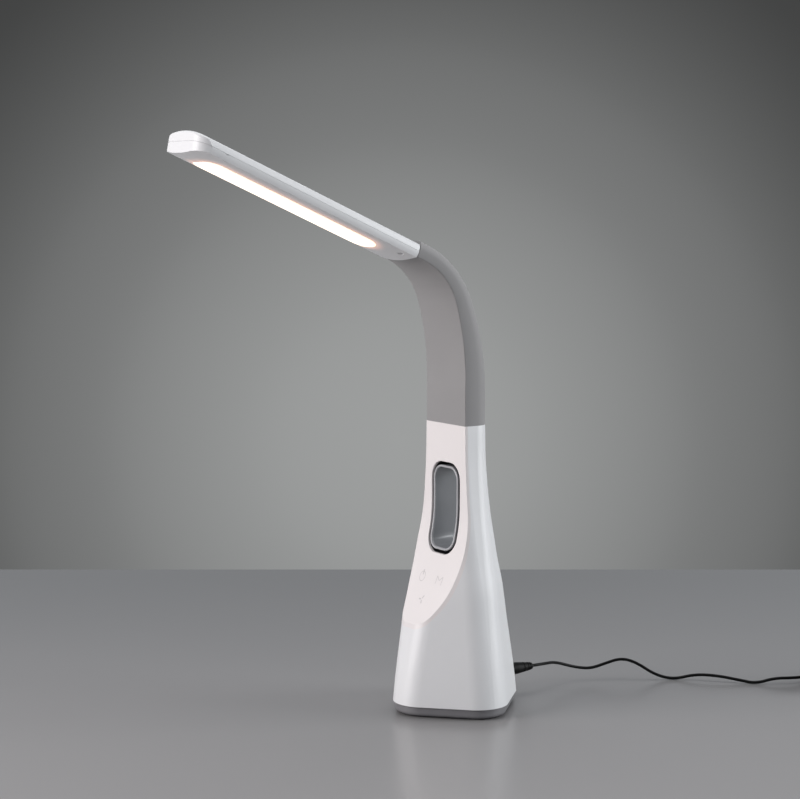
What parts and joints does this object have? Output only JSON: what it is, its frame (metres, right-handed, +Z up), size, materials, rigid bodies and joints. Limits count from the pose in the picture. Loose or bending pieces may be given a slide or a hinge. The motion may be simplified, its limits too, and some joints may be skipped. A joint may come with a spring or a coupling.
{
  "type": "desk lamp",
  "caption": "Desk lamp with a long flat light head on a bendable neck, rising from a flared tower with a through air opening, touch panel and internal fan.",
  "frame": {"origin": "middle of the foam pad's underside, on the table", "axes": "+Z up, -Y towards the light head and the front panel, +Y towards the power inlet"},
  "size_m": [0.2261, 0.6571, 0.5014],
  "materials": {
    "white_plastic": "satin",
    "panel_plastic": "satin",
    "grey_plastic": "satin",
    "sleeve_grey": "matt",
    "duct_grey": "gloss",
    "black_plastic": "matt",
    "foam": "matt",
    "steel": "machined",
    "cast": "as cast",
    "board": "solder mask",
    "component": "moulded",
    "copper": "plated",
    "aluminium": "rolled",
    "diffuser": "translucent",
    "led": "phosphor",
    "cord_black": "satin"
  },
  "bodies": {
    "tower": {"base_pad": "foam", "foot_plate": "grey_plastic", "foot_screws": "steel", "ballast": "cast", "tower_shell": "white_plastic", "front_panel": "panel_plastic", "eye_sleeve": "duct_grey", "air_nozzle": "black_plastic", "fan_duct": "black_plastic", "fan_motor": "steel", "main_board": "board", "board_parts": "component", "dc_jack": "black_plastic", "touch_board": "board", "touch_springs": "copper", "neck_socket": "black_plastic", "neck_sleeve_0": "sleeve_grey", "neck_rib_0": "black_plastic", "gooseneck_0": "steel", "dc_plug": "cord_black", "cord_run": "cord_black", "cord_coil": "cord_black", "coil_tie": "black_plastic", "adapter_body": "black_plastic", "adapter_pins": "steel"},
    "fan": {"impeller": "black_plastic", "fan_shaft": "steel"},
    "neck_link_1": {"neck_sleeve_1": "sleeve_grey", "neck_rib_1": "black_plastic", "gooseneck_1": "steel"},
    "neck_link_2": {"neck_sleeve_2": "sleeve_grey", "neck_rib_2": "black_plastic", "gooseneck_2": "steel"},
    "neck_link_3": {"neck_sleeve_3": "sleeve_grey", "neck_rib_3": "black_plastic", "gooseneck_3": "steel"},
    "neck_link_4": {"neck_sleeve_4": "sleeve_grey", "neck_rib_4": "black_plastic", "gooseneck_4": "steel"},
    "neck_link_5": {"neck_sleeve_5": "sleeve_grey", "neck_rib_5": "black_plastic", "gooseneck_5": "steel"},
    "head": {"neck_sleeve_6": "sleeve_grey", "neck_rib_6": "black_plastic", "gooseneck_6": "steel", "neck_clamp": "black_plastic", "head_frame": "white_plastic", "head_cover": "white_plastic", "diffuser": "diffuser", "light_tray": "white_plastic", "led_board": "board", "leds": "led", "heat_plate": "aluminium", "head_screws": "steel"}
  },
  "joints": [
    {"name": "neck_bend_1", "type": "hinge", "parent": "tower", "child": "neck_link_1", "pos_m": [0, 0.00011, 0.31223], "axis": [1, 0, 0], "range_deg": [-11, 8], "deforming": ["neck_sleeve_0", "neck_sleeve_1"]},
    {"name": "neck_bend_2", "type": "hinge", "parent": "neck_link_1", "child": "neck_link_2", "pos_m": [0, -0.0031, 0.33095], "axis": [1, 0, 0], "range_deg": [-11, 8], "deforming": ["neck_sleeve_1", "neck_sleeve_2"]},
    {"name": "neck_bend_3", "type": "hinge", "parent": "neck_link_2", "child": "neck_link_3", "pos_m": [0, -0.00795, 0.34931], "axis": [1, 0, 0], "range_deg": [-11, 8], "deforming": ["neck_sleeve_2", "neck_sleeve_3"]},
    {"name": "neck_bend_4", "type": "hinge", "parent": "neck_link_3", "child": "neck_link_4", "pos_m": [0, -0.01461, 0.36709], "axis": [1, 0, 0], "range_deg": [-11, 8], "deforming": ["neck_sleeve_3", "neck_sleeve_4"]},
    {"name": "neck_bend_5", "type": "hinge", "parent": "neck_link_4", "child": "neck_link_5", "pos_m": [0, -0.02505, 0.3829], "axis": [1, 0, 0], "range_deg": [-11, 8], "deforming": ["neck_sleeve_4", "neck_sleeve_5"]},
    {"name": "neck_bend_6", "type": "hinge", "parent": "neck_link_5", "child": "head", "pos_m": [0, -0.0392, 0.3955], "axis": [1, 0, 0], "range_deg": [-11, 8], "deforming": ["neck_sleeve_5", "neck_sleeve_6"]},
    {"name": "fan_spin", "type": "hinge", "parent": "tower", "child": "fan", "pos_m": [0, 0.008, 0.1], "axis": [0, 0, 1], "continuous": true}
  ],
  "couplings": [
    {"joint": "neck_bend_2", "follows": "neck_bend_1", "ratio": 1},
    {"joint": "neck_bend_3", "follows": "neck_bend_1", "ratio": 1},
    {"joint": "neck_bend_4", "follows": "neck_bend_1", "ratio": 1},
    {"joint": "neck_bend_5", "follows": "neck_bend_1", "ratio": 1},
    {"joint": "neck_bend_6", "follows": "neck_bend_1", "ratio": 1}
  ]
}
